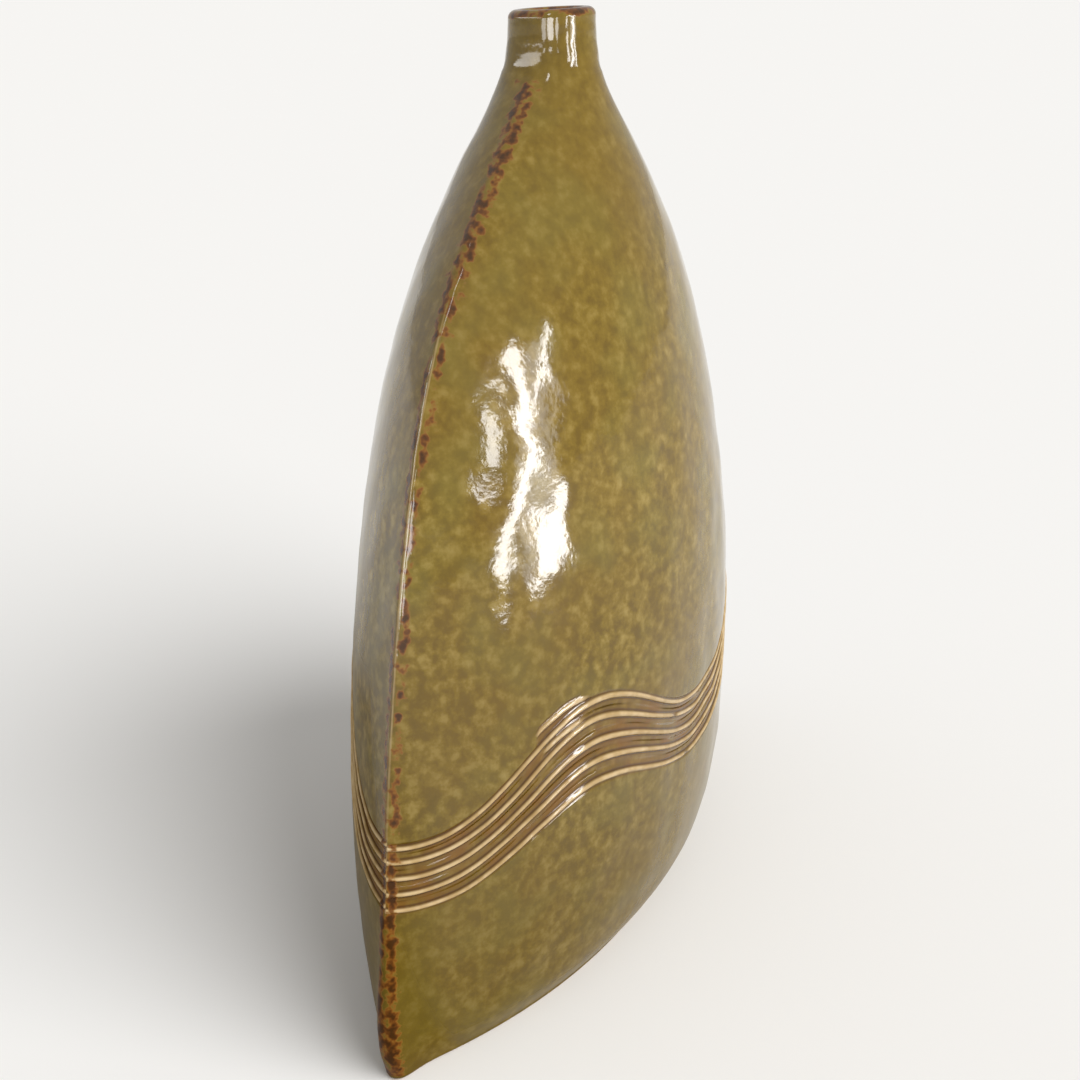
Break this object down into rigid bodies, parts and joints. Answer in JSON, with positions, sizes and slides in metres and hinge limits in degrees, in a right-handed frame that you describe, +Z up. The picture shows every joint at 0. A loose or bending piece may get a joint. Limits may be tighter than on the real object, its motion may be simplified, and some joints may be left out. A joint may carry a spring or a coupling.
{
  "type": "pillow vase",
  "caption": "Tall glazed stoneware pillow vase: pointed-oval body with sharp side seams, a combed wave band low on both faces, a flat foot and a short narrow neck.",
  "frame": {"origin": "centre of the pointed-oval foot, on the surface that the vase stands on", "axes": "+Z up through the neck, +X across the body from seam to seam, -Y out of the front face"},
  "size_m": [0.2844, 0.128, 0.34],
  "materials": {
    "wall_glaze": "glossy mottled olive-ochre reactive glaze",
    "seam_glaze": "glossy glaze broken to rust brown along the ridge",
    "neck_glaze": "glossy olive-ochre glaze, orange-brown at the lip",
    "base_clay": "fired stoneware, glazed at its outer edge and bare underneath",
    "inner_clay": "fired stoneware under a thin liner glaze"
  },
  "bodies": {
    "root": {"front_wall": "wall_glaze", "back_wall": "wall_glaze", "right_seam_strip": "seam_glaze", "left_seam_strip": "seam_glaze", "base_slab": "base_clay", "floor_coil": "inner_clay", "right_seam_coil": "inner_clay", "left_seam_coil": "inner_clay", "neck_collar": "neck_glaze"}
  },
  "joints": []
}
